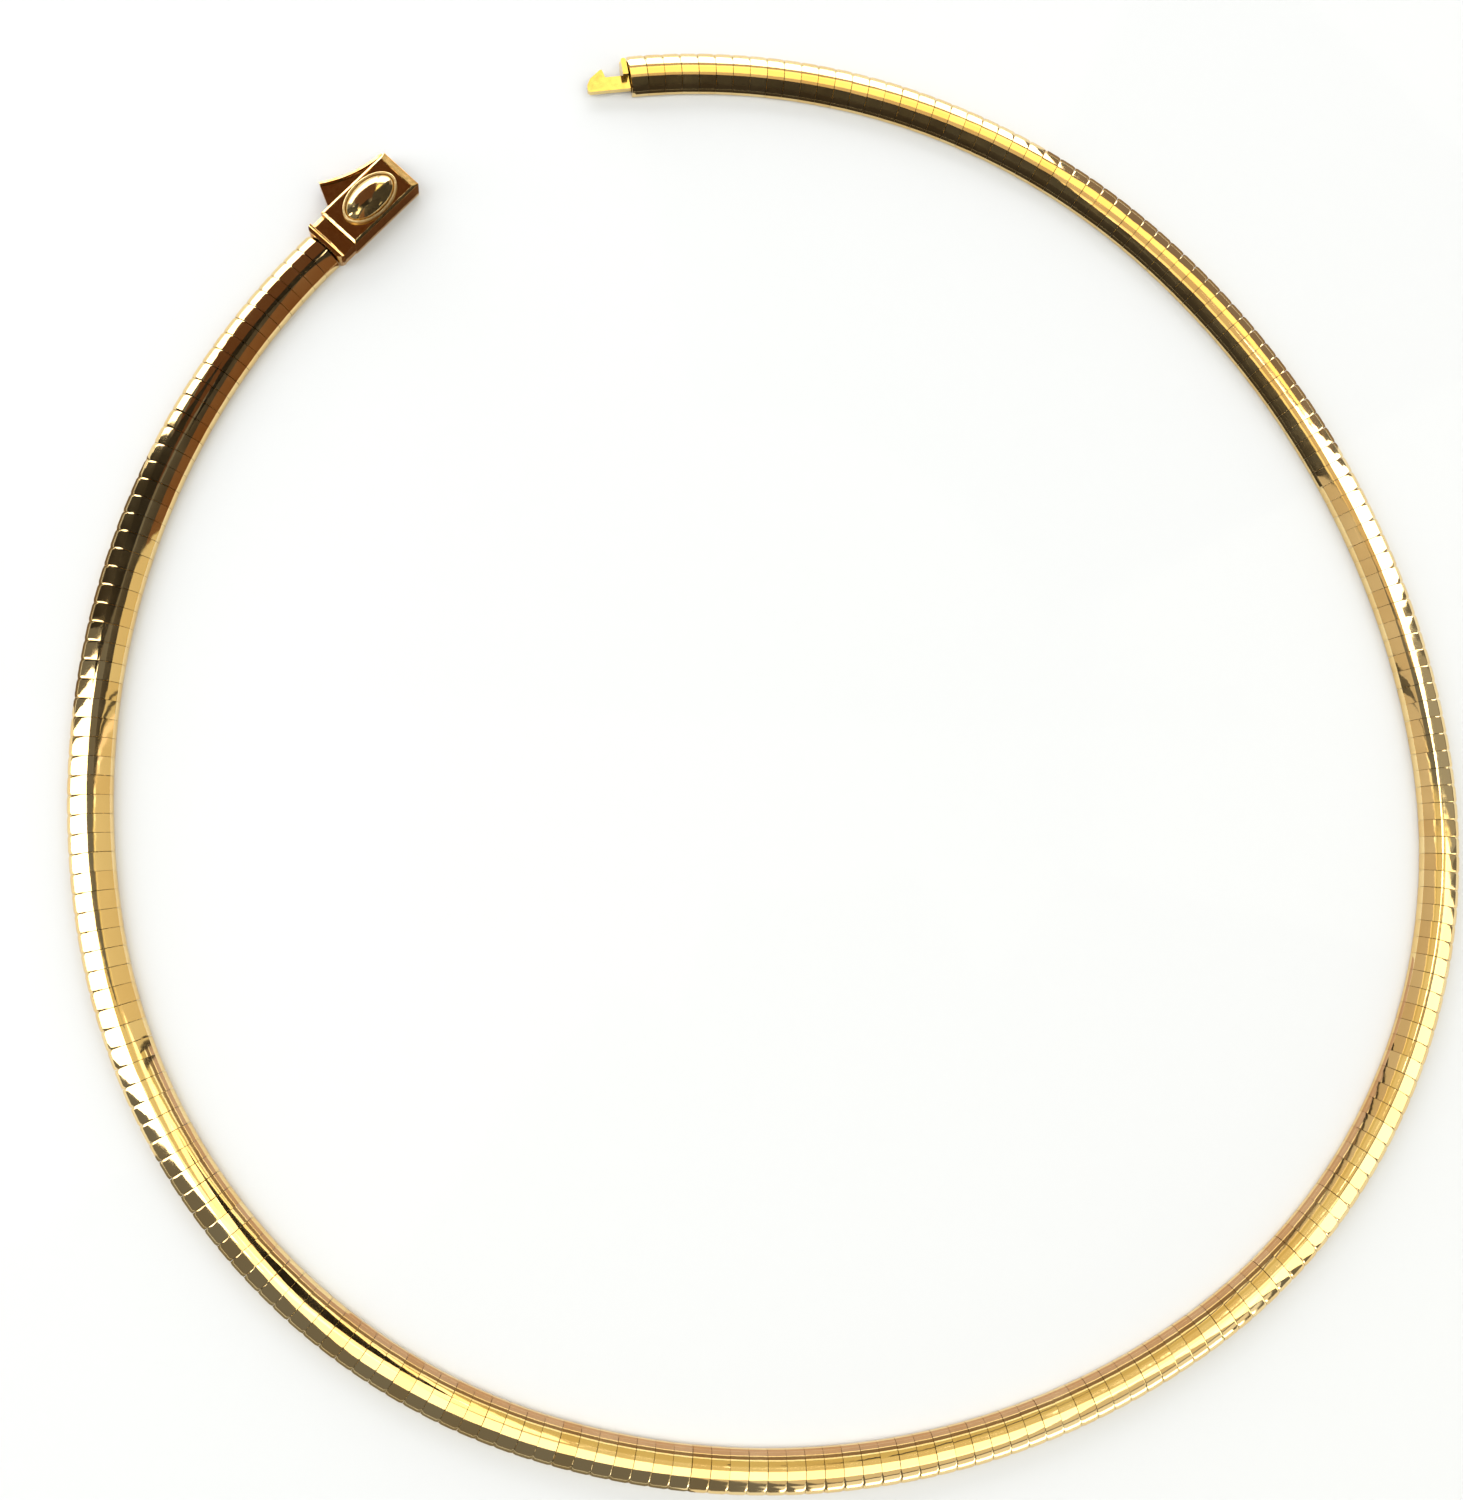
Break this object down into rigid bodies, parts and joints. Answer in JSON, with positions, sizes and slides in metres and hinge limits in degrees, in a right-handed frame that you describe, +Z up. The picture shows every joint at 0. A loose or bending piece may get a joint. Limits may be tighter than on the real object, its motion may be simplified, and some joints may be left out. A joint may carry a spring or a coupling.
{
  "type": "omega necklace",
  "caption": "Open collar of domed polished plates on a flat inner band, lying flat, with a box clasp, oval boss, side release lever and toothed tongue.",
  "frame": {"origin": "middle of the ring's outline, on the surface that the necklace lies on", "axes": "+Z up, out of the domes; +Y towards the opening between the clasp and the tongue; +X to the right as the domes are looked at"},
  "size_m": [0.1548, 0.1596, 0.0038],
  "materials": {
    "plates": "high polish 14 carat yellow gold",
    "band": "satin yellow gold",
    "clasp": "polished yellow gold, darker with wear in its corners",
    "lever": "polished yellow gold",
    "pin": "drawn yellow gold wire",
    "tongue": "polished yellow gold"
  },
  "bodies": {
    "collar": {"chain_left": "plates", "chain_right": "plates", "inner_band": "band", "clasp_box": "clasp", "lever_pin": "pin", "tongue": "tongue"},
    "lever": {"clasp_lever": "lever"}
  },
  "joints": [
    {"name": "lever_hinge", "type": "hinge", "parent": "collar", "child": "lever", "pos_m": [-0.04836, 0.06131, 0.00128], "axis": [0, 0, 1], "range_deg": [0, 18], "stiffness_Nm_per_rad": 0.0005}
  ]
}
